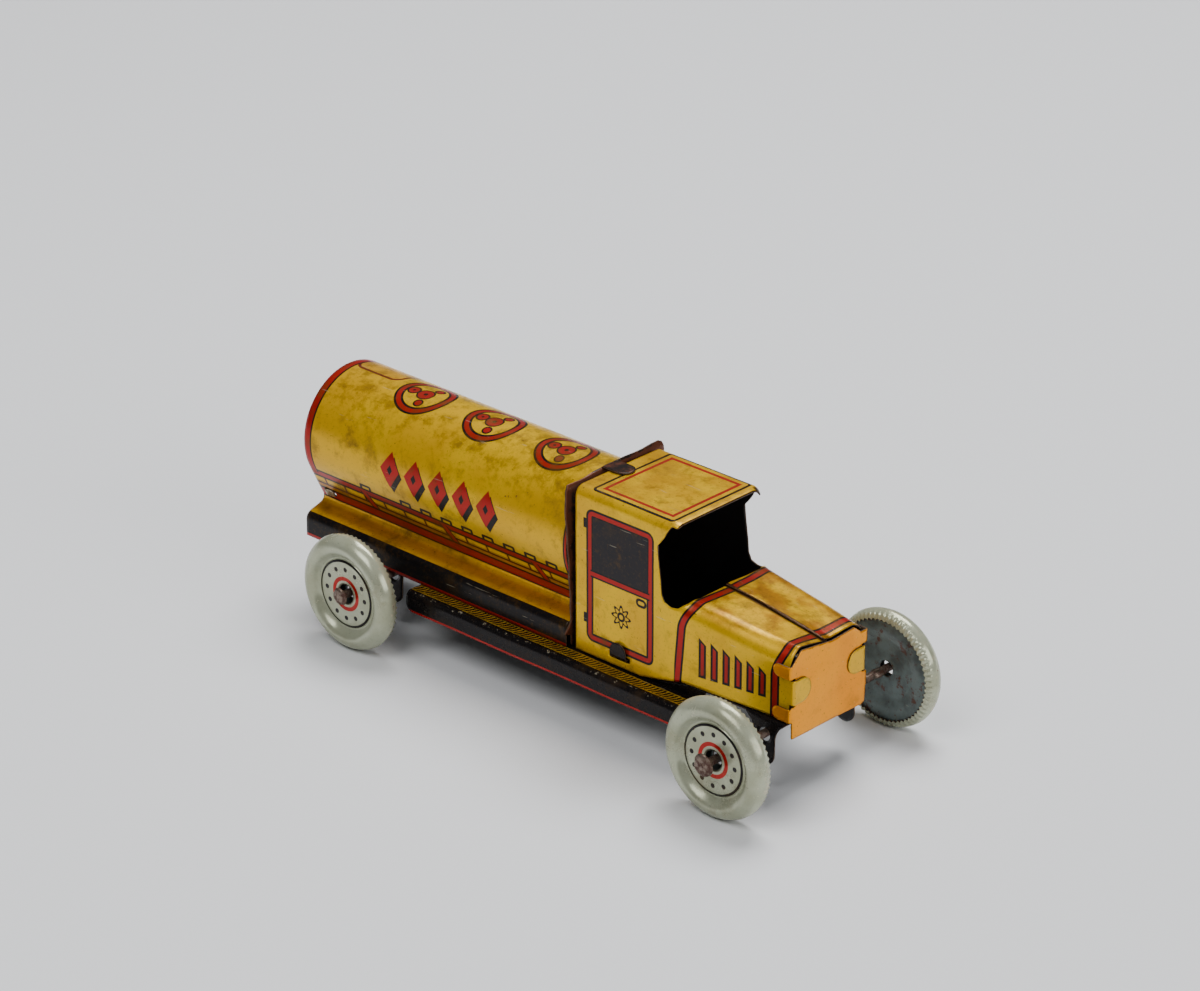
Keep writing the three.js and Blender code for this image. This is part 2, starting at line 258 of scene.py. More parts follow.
class Coat:
    # the look of one piece: inks laid over a ground colour, then the surface they end with
    def __init__(self, name, ground):
        self.material, self.tree, self.shader = newMaterial(name)
        self.colour = ground

    def blank(self):
        # the two coordinates of the flat blank, mm
        node = self.tree.nodes.new("ShaderNodeAttribute")
        node.attribute_name = "blank"
        split = self.tree.nodes.new("ShaderNodeSeparateXYZ")
        self.tree.links.new(node.outputs["Vector"], split.inputs[0])
        return [Term(self.tree, s) for s in split.outputs[:2]]

    def noise(self, scale, detail=4.0, rough=0.55, stretch=(1, 1, 1), offset=(0, 0, 0)):
        coordinates = self.tree.nodes.new("ShaderNodeTexCoord")
        mapping = self.tree.nodes.new("ShaderNodeMapping")
        mapping.inputs["Scale"].default_value = [1000 * k for k in stretch]   # metres to millimetres
        mapping.inputs["Location"].default_value = offset
        node = self.tree.nodes.new("ShaderNodeTexNoise")
        node.inputs["Scale"].default_value = scale
        node.inputs["Detail"].default_value = detail
        node.inputs["Roughness"].default_value = rough
        self.tree.links.new(coordinates.outputs["Object"], mapping.inputs["Vector"])
        self.tree.links.new(mapping.outputs[0], node.inputs["Vector"])
        return Term(self.tree, node.outputs[0])

    def lay(self, ink, amount):
        self.colour = mix(self.colour, ink, amount)

    def redLine(self, distance, black, red, mask=1.0):
        # a red line with black edges, both given by half their width
        self.lay("black", outlineOf(distance, black) * mask)
        self.lay("red", outlineOf(distance, red) * mask)

    def surface(self, rough, metallic=0.0, height=None, strength=0.0, distance=0.0):
        colour = Term(self.tree, self.colour)
        for name, value in (("Base Color", colour), ("Roughness", rough), ("Metallic", metallic)):
            if isinstance(value, Term):
                self.tree.links.new(value.socket, self.shader.inputs[name])
            else:
                self.shader.inputs[name].default_value = value
        if height is not None:
            bump = self.tree.nodes.new("ShaderNodeBump")
            bump.inputs["Strength"].default_value = strength
            bump.inputs["Distance"].default_value = distance
            self.tree.links.new(height.socket, bump.inputs["Height"])
            self.tree.links.new(bump.outputs[0], self.shader.inputs["Normal"])
        return self.material

    def finish(self, mottle=0.5, grime=0.22, specks=0.6, rubbed=0.8, roughness=0.24, metallic=0.38,
               gloss=0.2, soil=None, wear=None, scar=0.0):
        # varnish over print: brown mottling and soil, rubs to bare tin, specks, rusted chips, scratches;
        # soil, wear and scar raise their marks where they are above 0
        stain = self.noise(0.16, 8, 0.68).step(0.48, 0.70) \
            * self.noise(0.04, 3, 0.5, offset=(7, 3, 1)).step(0.38, 0.62)
        self.lay("dirt", stain * mottle)
        if soil is not None:
            blot = (self.noise(0.3, 8, 0.7, offset=(13, 8, 2)) + soil * 0.12).step(0.54, 0.80)
            self.lay("dirt", blot * 0.62)
        if wear is not None:
            rub = (self.noise(0.9, 5, 0.7, offset=(5, 1, 12)) + wear * 1.25 - 0.5).step(0.5, 0.62)
            self.lay("tin", rub * rubbed)
        fine = self.noise(1.5, 4, 0.7).step(0.52, 0.72)
        self.lay("dirt", fine * grime)
        flecks = self.noise(1.9, 2, 0.4, offset=(31, 5, 9)).step(0.70, 0.76)
        self.lay("black", flecks * specks)
        chips = (self.noise(0.45, 6, 0.66, offset=(3, 17, 5)) + scar).step(0.73, 0.745)
        self.lay("rust", chips * 0.9)
        scratch = self.noise(0.9, 3, 0.6, stretch=(0.12, 1.2, 1.6), offset=(2, 2, 8)).step(0.69, 0.72)
        self.lay("tin", scratch * 0.25)
        self.shader.inputs["Specular IOR Level"].default_value = gloss
        self.shader.inputs["Coat Weight"].default_value = 0.02
        self.shader.inputs["Coat Roughness"].default_value = 0.12
        rough = roughness + stain * 0.22 + chips * 0.35 + fine * 0.08
        height = self.noise(0.10, 2, 0.4, offset=(11, 4, 2)) * 0.16 + fine * 0.02 - chips * 0.06
        return self.surface(rough, metallic, height, 0.35, 0.0004)


# sheet metal: a flat blank cut to an outline, then folded
def arc(cx, cy, radius, start, stop, count=8):
    # points on a circle from start to stop degrees
    t = np.radians(np.linspace(start, stop, count))
    return [(cx + radius * np.cos(k), cy + radius * np.sin(k)) for k in t]


def polygonDistance(points, u, v):
    # signed distance to a closed outline: least distance to its sides, negative inside
    p = np.asarray(points, float)
    q = np.roll(p, -1, 0)
    best = np.full(u.shape, 1e9)
    crossing = np.zeros(u.shape, bool)
    for (ax, ay), (bx, by) in zip(p, q):
        ex, ey = bx - ax, by - ay
        wx, wy = u - ax, v - ay
        k = np.clip((wx * ex + wy * ey) / (ex * ex + ey * ey + 1e-12), 0, 1)
        best = np.minimum(best, (wx - ex * k) ** 2 + (wy - ey * k) ** 2)
        above = (ay > v) != (by > v)
        with np.errstate(divide="ignore", invalid="ignore"):
            crossing ^= above & (u < (bx - ax) * (v - ay) / (by - ay if by != ay else 1e-12) + ax)
    return np.sqrt(best) * np.where(crossing, -1, 1)


def meshObject(name, points, quads, blank=None):
    mesh = bpy.data.meshes.new(name)
    mesh.from_pydata((points * mm).tolist(), [], [list(map(int, face)) for face in quads])
    if blank is not None:
        attribute = mesh.attributes.new("blank", "FLOAT_VECTOR", "POINT")
        attribute.data.foreach_set("vector", blank.astype(np.float32).ravel())
    mesh.polygons.foreach_set("use_smooth", np.full(len(quads), True))
    mesh.update()
    obj = bpy.data.objects.new(name, mesh)
    bpy.context.scene.collection.objects.link(obj)
    return obj


def cutBlank(distance, spanU, spanV, step):
    # grid cells whose middle lies inside the outline; the border points slide onto the outline
    # along the gradient of the distance
    u = np.arange(spanU[0], spanU[1] + step, step)
    v = np.arange(spanV[0], spanV[1] + step, step)
    gridU, gridV = np.meshgrid(u, v, indexing="ij")
    middle = distance(gridU[:-1, :-1] + step / 2, gridV[:-1, :-1] + step / 2) < 0
    index = np.arange(gridU.size).reshape(gridU.shape)
    a, b = index[:-1, :-1][middle], index[1:, :-1][middle]
    c, d = index[1:, 1:][middle], index[:-1, 1:][middle]
    quads = np.stack([a, b, c, d], 1)
    touched = np.zeros(gridU.size, int)
    np.add.at(touched, quads.ravel(), 1)
    border = (touched > 0) & (touched < 4)
    fu, fv = gridU.ravel().copy(), gridV.ravel().copy()
    tiny = 1e-3
    for _ in range(3):
        bu, bv = fu[border], fv[border]
        dist = distance(bu, bv)
        gu = (distance(bu + tiny, bv) - distance(bu - tiny, bv)) / (2 * tiny)
        gv = (distance(bu, bv + tiny) - distance(bu, bv - tiny)) / (2 * tiny)
        size = np.maximum(gu * gu + gv * gv, 0.25)
        fu[border] -= dist * gu / size
        fv[border] -= dist * gv / size
    used = np.flatnonzero(touched)
    renumber = np.zeros(gridU.size, int)
    renumber[used] = np.arange(len(used))
    return fu[used], fv[used], renumber[quads]


def bend(t, radius, turn=math.pi / 2):
    # distance t past a fold line: first round an arc, then straight; gives travel along and across
    reach = radius * turn
    angle = np.clip(t / radius, 0, turn)
    rest = np.clip(t - reach, 0, None)
    along = radius * np.sin(angle) + rest * math.cos(turn)
    across = radius * (1 - np.cos(angle)) + rest * math.sin(turn)
    return along, across


def thicken(obj, thickness, materials):
    for material in materials:
        obj.data.materials.append(material)
    solidify = obj.modifiers.new("sheet", "SOLIDIFY")
    solidify.thickness = thickness * mm
    solidify.offset = -1
    solidify.use_even_offset = True
    solidify.material_offset = 1
    solidify.material_offset_rim = 2
    return obj


def dents(points, size, reach, seed):
    # slow uneven swell of hand-worn tin: a few sines of different pitch and direction
    out = np.zeros(len(points))
    rng = np.random.default_rng(seed)
    waves = 6
    for _ in range(waves):
        way = rng.normal(size=3)
        way /= np.linalg.norm(way)
        pitch = reach * rng.uniform(0.6, 1.6)
        out += np.sin(points @ way * (2 * math.pi / pitch) + rng.uniform(0, 6.28))
    return size * out / waves


def place(obj, body, slot, *nodes):
    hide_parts(*nodes)
    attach(obj, body)


def sheetPiece(name, part, distance, fold, spanU, spanV, step, faces, flip=False, thickness=sheet):
    # part holds a slot name and the CAD node the sheet stands for; faces are the looks of its two sides
    u, v, quads = cutBlank(distance, spanU, spanV, step)
    if flip:
        quads = quads[:, ::-1]
    obj = meshObject(name, fold(u, v), quads, np.stack([u, v, np.zeros_like(u)], 1))
    thicken(obj, thickness, [*faces, rawEdgeFinish])
    place(obj, "body", *part)


# shared plain finishes
def rawEdge():
    coat = Coat("raw_edge", (92, 70, 48))
    coat.lay((58, 36, 24), coat.noise(1.3, 4, 0.7).step(0.4, 0.6))
    return coat.surface(0.55, 0.4)


def blackInside():
    coat = Coat("black_inside", (14, 12, 12))
    grain = coat.noise(0.8, 5, 0.65).step(0.5, 0.75)
    coat.lay((40, 30, 24), grain * 0.6)
    return coat.surface(0.42 + grain * 0.25)


rawEdgeFinish = rawEdge()
blackInsideFinish = blackInside()
print("shared finishes made")

# tank
tank = {
    "rear": -71.55, "front": 6.0, "radius": 14.1, "axisZ": 36.6, "bandY": 14.2, "bandBottom": 14.4,
    "bandTop": 19.0, "pinchY": 8.6, "pinchZ": 21.6, "step": 0.55,
}


def quadratic(a, b, c, count):
    # points of a quadratic curve from a to c pulled towards b, its first point left out
    t = np.linspace(0, 1, count)[1:, None]
    a, b, c = map(np.array, (a, b, c))
    return [tuple(p) for p in (1 - t) ** 2 * a + 2 * t * (1 - t) * b + t ** 2 * c]


def tankSection():
    # half section from the top down: circle, straight neck, rolled valance, upright band;
    # returns arc length from the top with the y and z reached there
    rise, radius, axisZ = tank["axisZ"] - tank["pinchZ"], tank["radius"], tank["axisZ"]
    low = -math.degrees(math.atan2(rise, tank["pinchY"]))
    tangent = low + math.degrees(math.acos(radius / math.hypot(tank["pinchY"], rise)))
    py, pz, by, bz = tank["pinchY"], tank["pinchZ"], tank["bandY"], tank["bandTop"]
    line = arc(0, axisZ, radius, 90, tangent, 90)
    line += quadratic((py + 0.4, pz + 1.4), (py - 0.1, pz - 0.4), (py + 1.5, pz - 0.8), 12)
    line += quadratic((by - 1.9, bz + 1.15), (by, bz + 0.7), (by, bz - 0.9), 12)
    line += [(by, tank["bandBottom"])]
    line = np.array(line)
    length = np.concatenate([[0], np.cumsum(np.hypot(*np.diff(line, axis=0).T))])
    return length, line[:, 0], line[:, 1]


sectionLength, sectionY, sectionZ = tankSection()
tankHalf = sectionLength[-1]
neckAt = float(np.interp(-tank["pinchZ"] - 0.2, -sectionZ[:-14], sectionLength[:-14]))
bandAt = tankHalf - (tank["bandTop"] - tank["bandBottom"]) - 0.4


def foldTank(x, s):
    side = np.where(s < 0, -1.0, 1.0)
    y = np.interp(np.abs(s), sectionLength, sectionY) * side
    z = np.interp(np.abs(s), sectionLength, sectionZ)
    points = np.stack([x, y, z], 1)
    points[:, 2] += dents(points, 0.10, 38, 4)
    points[:, 1] += dents(points, 0.10, 33, 5)
    return points


def tankOutline(x, s):
    middle = (tank["rear"] + tank["front"]) / 2
    half = (tank["front"] - tank["rear"]) / 2
    whole = np.maximum(np.abs(x - middle) - half, np.abs(s) - tankHalf)
    slotU = np.abs(x - tank["rear"] - 3.2) - 1.5
    slotV = np.abs(np.abs(s) - neckAt + 2.2) - 0.7
    return np.maximum(whole, -np.maximum(slotU, slotV))


tankArt = {
    "lids": (-47.4, -27.0, -6.2), "lidV": -0.9, "lidRadius": 5.95,
    # spots on a lid: place along and across from its middle, radius
    "spots": ((0, 0, 1.75), (-3.5, 0.1, 1.2), (0.9, -3.3, 0.8), (1.3, 3.1, 0.85)),
    "lozenges": 5, "lozengeU": -45.4, "lozengePitch": 7.1, "lozengeW": 20.7, "shadow": 0.95,
    "railTop": 29.9, "railLow": neckAt - 1.55, "rackPitch": 6.1, "struts": (-55.6, -31.5, -5.0),
    "valanceTop": neckAt - 0.4, "valanceLow": bandAt - 0.9,
    # ends of the round part: place, way in, width of the red
    "ends": ((tank["rear"], 1.0, 1.7), (tank["front"], -1.0, 0.5)),
}


def paintLids(coat, u, v):
    middle = tankArt["lidV"]
    for cu in tankArt["lids"]:
        ring = discAt(u, v, cu, middle, tankArt["lidRadius"])
        coat.redLine(ring, 1.06, 0.52)
        bar = boxAt(u, v, cu - 1.9, middle, 1.9, 0.16)
        coat.lay("black", inside(bar))
        for du, dv, radius in tankArt["spots"]:
            spot = discAt(u, v, cu + du, middle + dv, radius)
            coat.lay("black", inside(spot - 0.4))
            coat.lay("red", inside(spot))
            if radius > 1:
                coat.lay("black", inside(spot + radius * 0.72))


def paintPanel(coat, u, v):
    # panel beside the top line at the rear
    panel = boxAt(u, v, -63.2, 5.4, 6.4, 5.6, 2.2)
    coat.lay((214, 150, 48), inside(panel) * 0.5)
    coat.lay((110, 34, 26), outlineOf(panel, 0.36))


def paintLozenges(coat, u, w):
    # red lozenges with a black drop shadow, each with a hole
    for k in range(tankArt["lozenges"]):
        for shift, ink in ((tankArt["shadow"], "black"), (0.0, "red")):
            du = (u - tankArt["lozengeU"] - tankArt["lozengePitch"] * k - shift).abs()
            dw = (w - tankArt["lozengeW"] - shift).abs()
            reach = (du * 1.5 + dw) * 0.6
            coat.lay(ink, inside((reach - 2.5).most(0.7 - reach)))


def paintRack(coat, u, w):
    # a rail with churns standing over it, the cells of a rack, slanting struts, the wide lower rail
    top, low, pitch = tankArt["railTop"], tankArt["railLow"], tankArt["rackPitch"]
    cells = band(w, top + 0.4, top + 3.1)
    rack = band(w, top, low)
    wood = mix((210, 150, 20), (166, 104, 16), band(w, top + 3.3, low - 0.7) * 0.8)
    coat.lay(wood, rack)
    coat.lay("yellow", cells * inside(wave(u, pitch, 2.0).abs() - 2.5) * 0.9)
    for at in (top + 1.2, top + 2.6):
        coat.lay((120, 70, 22), band(w, at - 0.12, at + 0.12) * rack * 0.8)
    coat.lay((70, 24, 16), outlineOf(w - top - 3.2, 0.34))
    coat.lay((44, 24, 14), outlineOf(wave(u, pitch, 2.0 + pitch / 2), 0.24) * cells)
    churnU = wave(u, pitch, 0.7)
    slope = (w - top + 1.5) * 0.14
    churn = boxAt(churnU + slope, w, 0.0, top - 1.35, 1.35, 0.95, 0.1)
    hook = boxAt(churnU, w, 1.9, top - 0.5, 0.6, 0.14)
    present = inside(u * -1.0 - 56.0) * (1.0 - band(u, -49.9, -43.9))
    for mark in (outlineOf(churn, 0.36), inside(hook - 0.14)):
        coat.lay("black", mark * present)
    coat.redLine(w - top, 1.25, 0.62)
    for cu in tankArt["struts"]:
        coat.redLine(u - cu - (w - top) * 0.42, 1.15, 0.68, rack)
    coat.lay("black", band(w, low - 2.1, low + 1.25))
    coat.lay("red", band(w, low - 1.45, low + 0.8))


def paintValance(coat, w):
    # wood tones, darker in the middle and lighter towards both edges, the lighter edges being a painted
    # highlight on the rolled folds; then the black side band with its red foot
    high, low = tankArt["valanceTop"], tankArt["valanceLow"]
    grain = coat.noise(0.25, 3, 0.5, stretch=(0.2, 1, 1))
    # lighter towards both edges: painted highlight along the valance's rolled folds
    foldHighlight = (w - (high + low) / 2).abs().step(0.6, 2.4)
    timberAndHighlight = mix((182, 122, 4), (224, 166, 8), foldHighlight)
    timberAndHighlight = mix(timberAndHighlight, (112, 66, 8), grain.step(0.45, 0.7) * 0.5)
    coat.lay(timberAndHighlight, band(w, high, low))
    coat.lay("black", w.step(low - edge, low + edge))
    coat.lay("red", w.step(tankHalf - 0.7 - edge, tankHalf - 0.7 + edge))


def paintEnds(coat, u, w):
    upper = 1.0 - w.step(tankArt["railTop"] - 0.1, tankArt["railTop"])
    for at, way, wide in tankArt["ends"]:
        along = (u - at) * way
        for ink, reach in (("black", wide + 0.45), ("red", wide)):
            coat.lay(ink, upper * (1.0 - along.step(reach - edge, reach + edge)))


def tankPrint():
    # u runs along the truck, v is the distance round the sheet from the top, minus on the right side
    coat = Coat("tank_print", "yellow")
    u, v = coat.blank()
    w = v.abs()
    shade = coat.noise(0.05, 3, 0.5, offset=(1, 9, 4)).step(0.35, 0.65)
    coat.lay((206, 154, 20), shade * 0.7)
    paintLids(coat, u, v)
    paintPanel(coat, u, v)
    paintLozenges(coat, u, w)
    paintRack(coat, u, w)
    paintValance(coat, w)
    paintEnds(coat, u, w)
    valance = band(w, tankArt["valanceTop"], tankArt["valanceLow"])
    soil = (1.0 - w.step(9.0, 16.0)) + u.step(-18.0, 2.0) * 0.5 + valance * 0.3
    scar = inside(boxAt(u, v, -10.0, -16.5, 4.5, 1.8)) * 0.13
    return coat.finish(mottle=0.8, grime=0.26, roughness=0.28, soil=soil, scar=scar)


def sectionPoint(s, out=0.0):
    # point of the half section at arc length s, moved outward by out along its normal
    tiny = 0.05
    y, z = np.interp(s, sectionLength, sectionY), np.interp(s, sectionLength, sectionZ)
    dy = np.interp(s + tiny, sectionLength, sectionY) - np.interp(s - tiny, sectionLength, sectionY)
    dz = np.interp(s + tiny, sectionLength, sectionZ) - np.interp(s - tiny, sectionLength, sectionZ)
    size = np.hypot(dy, dz)
    return y - dz / size * out, z + dy / size * out


tankEnd = {"inset": 0.55, "press": 0.35, "ring": 11.4, "x": -70.75}


def tankEndDistance(y, z):
    above = sectionLength < neckAt - 0.6
    half = np.stack([sectionY[above], sectionZ[above]], 1)
    outline = np.concatenate([half, (half * (-1, 1))[::-1]])
    return polygonDistance(outline, y, z) + tankEnd["inset"]


def foldTankEnd(y, z):
    # flat plate with a shallow pressed panel inside a ring
    r = np.hypot(y, z - tank["axisZ"])
    press = np.clip((tankEnd["ring"] - r) / 0.8, 0, 1)
    return np.stack([tankEnd["x"] - tankEnd["press"] * press ** 2 * (3 - 2 * press), y, z], 1)


def tankEndPrint():
    coat = Coat("tank_end_print", "yellow")
    u, v = coat.blank()
    r = length(u, v - tank["axisZ"])
    coat.lay((190, 138, 30), coat.noise(0.06, 3).step(0.4, 0.6) * 0.6)
    coat.redLine(r - 11.6, 0.95, 0.6)
    coat.lay("black", outlineOf(r - 3.4, 0.55))
    coat.lay("red", inside(r - 3.0))
    coat.lay("black", inside(r - 0.9))
    return coat.finish(mottle=0.5, grime=0.3, roughness=0.26)


def makeTank():
    sheetPiece("tank_skin", ("tank_print", "tank_shell"), tankOutline, foldTank,
               (tank["rear"] - 1, tank["front"] + 1), (-tankHalf - 1, tankHalf + 1), tank["step"],
               (tankPrint(), blackInsideFinish))
    sheetPiece("tank_end_skin", ("tank_end_print", "tank_rear_end"), tankEndDistance, foldTankEnd,
               (-15, 15), (21, 52), 0.5, (tankEndPrint(), blackInsideFinish), flip=True)
    for name, side in (("left", 1), ("right", -1)):
        def foldTab(x, s):
            y, z = sectionPoint(s, 0.3 + 0.1 * np.sin((x - tank["rear"]) * 1.4))
            return np.stack([x, side * y, z], 1)

        def tabDistance(x, s):
            across = np.abs(s - neckAt + 2.2)
            along = np.clip(x - tank["rear"] - 3.3, 0, None)
            return np.maximum(np.hypot(along, across) - 1.1, tank["rear"] + 1.6 - x)

        sheetPiece("tank_end_tab_" + name, ("tank_end_print",), tabDistance, foldTab,
                   (tank["rear"] + 1, tank["rear"] + 6), (neckAt - 5, neckAt + 1), 0.3,
                   (tinFinish, tinFinish), flip=side < 0, thickness=0.25)


def bareTin():
    coat = Coat("bare_tin", (168, 158, 134))
    stain = coat.noise(0.8, 5, 0.7).step(0.45, 0.65)
    coat.lay((92, 62, 42), stain * 0.7)
    return coat.surface(0.32 + stain * 0.3, 0.75)


tinFinish = bareTin()
makeTank()
print("tank made")

# bulkhead behind the cab, with the tab that folds over the roof
bulkhead = {"x": 6.4, "tabY": -1.2, "tabHalf": 2.3, "tabLength": 4.5, "fold": 51.35, "radius": 0.35,
            "lipZ": 50.3, "lipReach": 1.2, "lipLean": 0.45}
# outline of the plate: its left side from the bottom up as y and height, then its top edge
bulkheadSide = [(13.1, 14.5), (13.2, 17.0), (15.1, 17.7), (13.3, 20.3), (13.9, 30.0), (14.3, 39.0),
                (14.8, 46.0), (14.7, 50.1)]
bulkheadTop = [(-14.0, 51.0), (0.0, 51.5), (13.6, 51.8), (14.5, 51.3)]


def bulkheadDistance(y, z):
    right = [(-a, b) for a, b in bulkheadSide]
    outline = right + bulkheadTop + bulkheadSide[::-1]
    plate = polygonDistance(outline, y, z) + 0.08 * np.sin(z * 0.9 + y * 0.7)
    along = np.clip(z - bulkhead["fold"] - bulkhead["tabLength"], 0, None)
    tab = np.maximum(np.hypot(y - bulkhead["tabY"], along) - bulkhead["tabHalf"], 49.0 - z)
    return np.minimum(plate, tab)


def foldBulkhead(y, z):
    along, across = bend(z - bulkhead["fold"], bulkhead["radius"])
    folded = z > bulkhead["fold"]
    inTab = folded & (np.abs(y - bulkhead["tabY"]) < bulkhead["tabHalf"] + 0.2)
    height = np.where(inTab, bulkhead["fold"] + along, z)
    lip = np.clip(np.minimum(z, bulkhead["fold"]) - bulkhead["lipZ"], 0, bulkhead["lipReach"])
    x = bulkhead["x"] + np.where(inTab, across, 0) + 0.1 * np.sin(y * 0.35 + z * 0.22)
    x = x - bulkhead["lipLean"] * lip * lip
    return np.stack([x, y, height], 1)


def bulkheadPaint():
    coat = Coat("bulkhead_paint", (34, 26, 24))
    y, z = coat.blank()
    rim = z.step(46.5, 49.5).most(y.abs().step(12.4, 13.6)) * (1.0 - z.step(51.0, 51.3))
    rust = (coat.noise(0.35, 6, 0.68) + rim * 0.22).step(0.5, 0.66)
    coat.lay((100, 56, 38), rust * 0.85)
    return coat.finish(mottle=0.2, grime=0.1, specks=0.2, roughness=0.34)


def makeBulkhead():
    paint = bulkheadPaint()
    sheetPiece("bulkhead_skin", ("bulkhead_tin", "bulkhead"), bulkheadDistance, foldBulkhead,
               (-17, 17), (13, 58), 0.45, (paint, paint), flip=True)


makeBulkhead()
print("bulkhead made")

# cab and hood, one blank: u along the truck, v round the sheet from the middle of the roof
cab = {
    "rear": 8.0, "farRear": 6.95, "half": 13.3, "roofZ": 51.2, "corner": 2.2, "bottomZ": 14.4,
    "roofFront": 35.4, "noseX": 63.8, "noseHalf": 11.1, "cowlX": 38.4, "cowlZ": 34.7, "noseZ": 31.8,
    "hoodCorner": 3.8,
    "hoodBottom": 16.9, "tabZ": 23.4, "tabHalf": 2.7, "tabReach": 3.0, "tabFold": 64.35, "lap": 0.45,
    "step": 0.45,
}
cab["zero"] = cab["roofZ"] - cab["corner"] + cab["corner"] * math.pi / 2 + cab["half"] - cab["corner"]


def hoodTop(x):
    slope = (cab["cowlZ"] - cab["noseZ"]) / (cab["noseX"] - cab["cowlX"])
    return cab["cowlZ"] - np.where(x > cab["cowlX"], slope, 0.33) * (x - cab["cowlX"])


def cabHalf(x):
    k = np.clip((x - 34.0) / (cab["noseX"] - 34.0), 0, 1)
    return cab["half"] + (cab["noseHalf"] - cab["half"]) * k


def hoodMiddle(x):
    # where the middle of the hood lies on the blank, as a distance from the roof's middle
    corner = cab["hoodCorner"]
    return cab["zero"] - hoodTop(x) + corner - corner * math.pi / 2 - cabHalf(x) + corner


# outline of a side as x and height, up past the roof fold; it runs round the windscreen opening
cabSide = [
    (cab["rear"], 53.0), (33.0, 53.0), (33.9, 50.8), (33.2, 49.4), (32.3, 47.7), (31.2, 46.2), (30.4, 45.3),
    (30.7, 42.2), (31.3, 38.0), (31.6, 34.8), (32.4, 33.4), (34.1, 32.8), (35.8, 33.0), (37.4, 34.6),
    (38.2, 37.0), (38.3, 52.0), (cab["noseX"], 52.0), (cab["noseX"], cab["hoodBottom"]),
    (37.0, cab["hoodBottom"]), (26.0, cab["bottomZ"]), (cab["rear"], cab["bottomZ"]),
]


def cabDistance(x, v):
    m = np.abs(v)
    z = cab["zero"] - m
    near = v < 0
    # roof panel with rounded front corners
    dx = np.clip(x - cab["roofFront"] + 0.8, 0, None)
    dm = np.clip(m - 12.9 + 0.8, 0, None)
    roof = np.maximum(np.maximum(np.hypot(dx, dm) - 0.8, m - 13.9), cab["rear"] - x)
    side = polygonDistance(cabSide, x, z)
    # the left side reaches back to the bulkhead below the roof
    back = np.maximum(np.maximum(cab["farRear"] - x, x - 10), np.maximum(z - 46, cab["bottomZ"] - z))
    side = np.where(near, side, np.minimum(side, back))
    overlap = np.where(near, -0.5, -1.2) + 0.25 * np.sin(x * 0.31)
    hoodCut = np.where(x > 36.2, hoodMiddle(x) + overlap - m, -9.0)
    side = np.maximum(side, hoodCut)
    joined = np.minimum(roof, side)
    beyond = np.clip(x - cab["tabFold"] - cab["tabReach"], 0, None)
    tab = np.maximum(np.hypot(beyond, z - cab["tabZ"]) - cab["tabHalf"], 62.0 - x)
    joined = np.minimum(joined, tab)
    slot = np.maximum(np.abs(x - 20.2) - 2.8, np.abs(z - 16.6) - 0.6)
    return np.maximum(joined, -slot)


seamAt = float(hoodMiddle(np.array(cab["cowlX"])))
seamSlope = (float(hoodMiddle(np.array(cab["noseX"]))) - seamAt) / (cab["noseX"] - cab["cowlX"])
# how far the front of the hood top waves up or down across its width
noseWave = ([-11.3, -8.3, -5.2, 0.9, 5.5, 9.6, 11.8], [0.0, 0.75, 0.25, -1.1, -0.45, -0.35, -0.2])


def foldCab(x, v):
    m = np.abs(v)
    side = np.where(v < 0, -1.0, 1.0)
    half = cabHalf(x)
    useHood = (x > 31) & (m > 16) & ((m > 29.9) | (x > 35.9))
    top = np.where(useHood, hoodTop(x), cab["roofZ"])
    corner = np.where(useHood, cab["hoodCorner"], cab["corner"])
    past = cab["zero"] - m - (top - corner)
    along, across = bend(np.clip(past, 0, None), corner)
    z = np.where(past > 0, top - corner + along, cab["zero"] - m)
    y = side * (half - across)
    # the left flap of the hood lies on the right one along the seam
    lap = useHood & (past > 0) & (v > 0)
    seam = np.clip(1 - (y + 1.5) / 8.0, 0, 1)
    z = z + np.where(lap, cab["lap"] * seam * seam * (3 - 2 * seam), 0)
    # the lip of the roof droops and curls down at its left end
    visor = np.clip((x - 33.4) / 2.0, 0, 1)
    curl = 0.3 + 1.5 * np.clip((v - 9.6) / 3.0, 0, 1) ** 2
    z = z - np.where(past > 0, curl, 0) * visor * visor * (m < 15)
    front = np.clip((x - 52) / 11.8, 0, 1) ** 2
    z = z + np.where(useHood & (past > 0), np.interp(y, *noseWave) * front, 0)
    reach, inward = bend(np.clip(x - cab["tabFold"], 0, None), 0.5)
    y = y - side * inward
    x = np.minimum(x, cab["tabFold"]) + reach
    points = np.stack([x, y, z], 1)
    soft = np.where(x < 36, 1.0, 0.5)
    points[:, 2] += dents(points, 0.16, 26, 8) * (past > 0) * soft
    points[:, 1] += dents(points, 0.12, 24, 9) * (past <= 0) * soft * (x < 62)
    return points


cabArt = {
    "roofU": 22.4, "roofHalfU": 10.9, "roofHalfV": 11.7, "roofGap": 1.7,
    "doorU": 20.25, "doorZ": 32.55, "doorHalfU": 9.05, "doorHalfZ": 14.75, "doorCorner": 1.6, "sill": 33.05,
    "handle": (26.1, 30.9), "hingeU": 10.7, "hinges": (44.0, 22.6),
    "rosette": (20.6, 25.9), "petals": 8, "cowlU": 36.3, "noseU": 60.2,
    "slatPitch": 2.98, "slatFirst": 42.2, "slatRun": 14.9,
}


def paintRoof(coat, u, v):
    frame = boxAt(u, v, cabArt["roofU"], 0.0, cabArt["roofHalfU"], cabArt["roofHalfV"], 0.8)
    coat.lay("black", outlineOf(frame, 0.32))
    coat.lay("red", outlineOf(frame + cabArt["roofGap"], 0.4))


